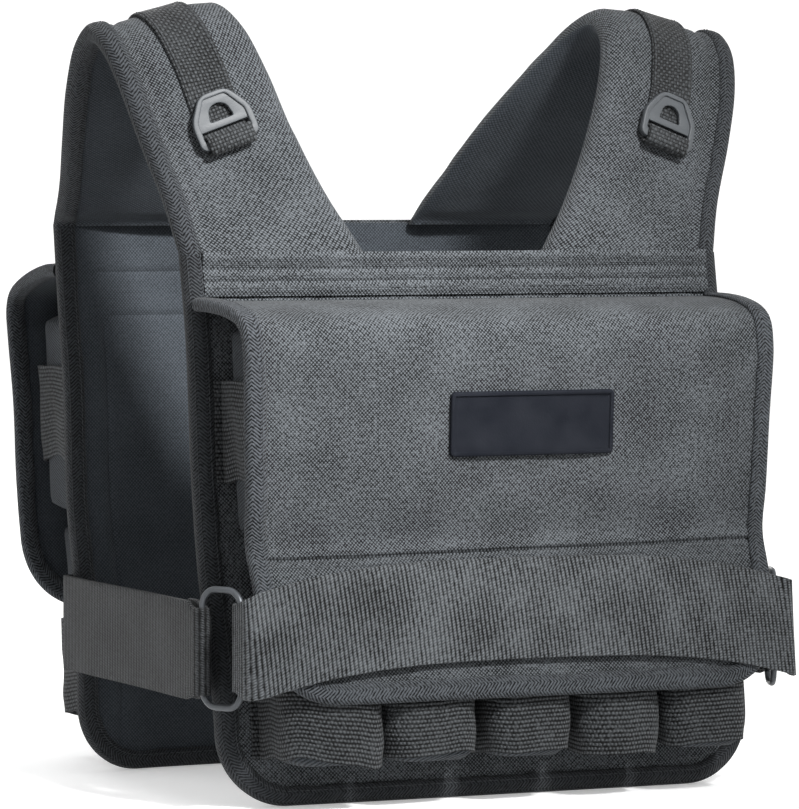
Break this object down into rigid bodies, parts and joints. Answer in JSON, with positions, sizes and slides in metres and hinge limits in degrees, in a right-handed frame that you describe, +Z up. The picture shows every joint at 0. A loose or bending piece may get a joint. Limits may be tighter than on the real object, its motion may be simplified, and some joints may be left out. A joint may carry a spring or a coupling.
{
  "type": "weighted vest",
  "caption": "Padded training vest with bound front and back panels, shoulder straps, a belt on wire rings, and flaps over rows of weight bars held by webbing loops.",
  "frame": {"origin": "middle of the vest's box in plan, on the surface that both panels stand on", "axes": "+Z up, the front panel faces -Y, +X towards the wearer's left"},
  "size_m": [0.3572, 0.3412, 0.3933],
  "materials": {
    "cloth": "matt dark grey polyester with a fine diagonal weave",
    "binding": "matt herringbone tape",
    "bar_cloth": "matt dark twill",
    "webbing": "woven webbing with fine ribs",
    "patch": "matt moulded rubber",
    "plastic": "satin moulded plastic",
    "wire": "dark grey coated wire"
  },
  "bodies": {
    "root": {"front_panel": "cloth", "front_panel_binding": "binding", "front_yoke": "cloth", "front_flap": "cloth", "front_flap_binding": "binding", "front_patch": "patch", "front_lower_bar_1": "bar_cloth", "front_lower_bar_2": "bar_cloth", "front_lower_bar_3": "bar_cloth", "front_lower_bar_4": "bar_cloth", "front_lower_bar_5": "bar_cloth", "front_upper_bar_1": "bar_cloth", "front_upper_bar_2": "bar_cloth", "front_upper_bar_3": "bar_cloth", "front_upper_bar_4": "bar_cloth", "front_upper_bar_5": "bar_cloth", "front_lower_loops": "webbing", "front_upper_loops": "webbing", "back_panel": "cloth", "back_panel_binding": "binding", "back_yoke": "cloth", "back_flap": "cloth", "back_flap_binding": "binding", "back_lower_bar_1": "bar_cloth", "back_lower_bar_2": "bar_cloth", "back_lower_bar_3": "bar_cloth", "back_lower_bar_4": "bar_cloth", "back_lower_bar_5": "bar_cloth", "back_upper_bar_1": "bar_cloth", "back_upper_bar_2": "bar_cloth", "back_upper_bar_3": "bar_cloth", "back_upper_bar_4": "bar_cloth", "back_upper_bar_5": "bar_cloth", "back_lower_loops": "webbing", "back_upper_loops": "webbing", "left_shoulder_strap": "cloth", "right_shoulder_strap": "cloth", "left_strap_binding": "binding", "right_strap_binding": "binding", "left_shoulder_webbing": "webbing", "right_shoulder_webbing": "webbing", "left_d_ring": "plastic", "right_d_ring": "plastic", "front_belt": "webbing", "left_side_strap": "webbing", "right_side_strap": "webbing", "left_wire_ring": "wire", "right_wire_ring": "wire"}
  },
  "joints": []
}
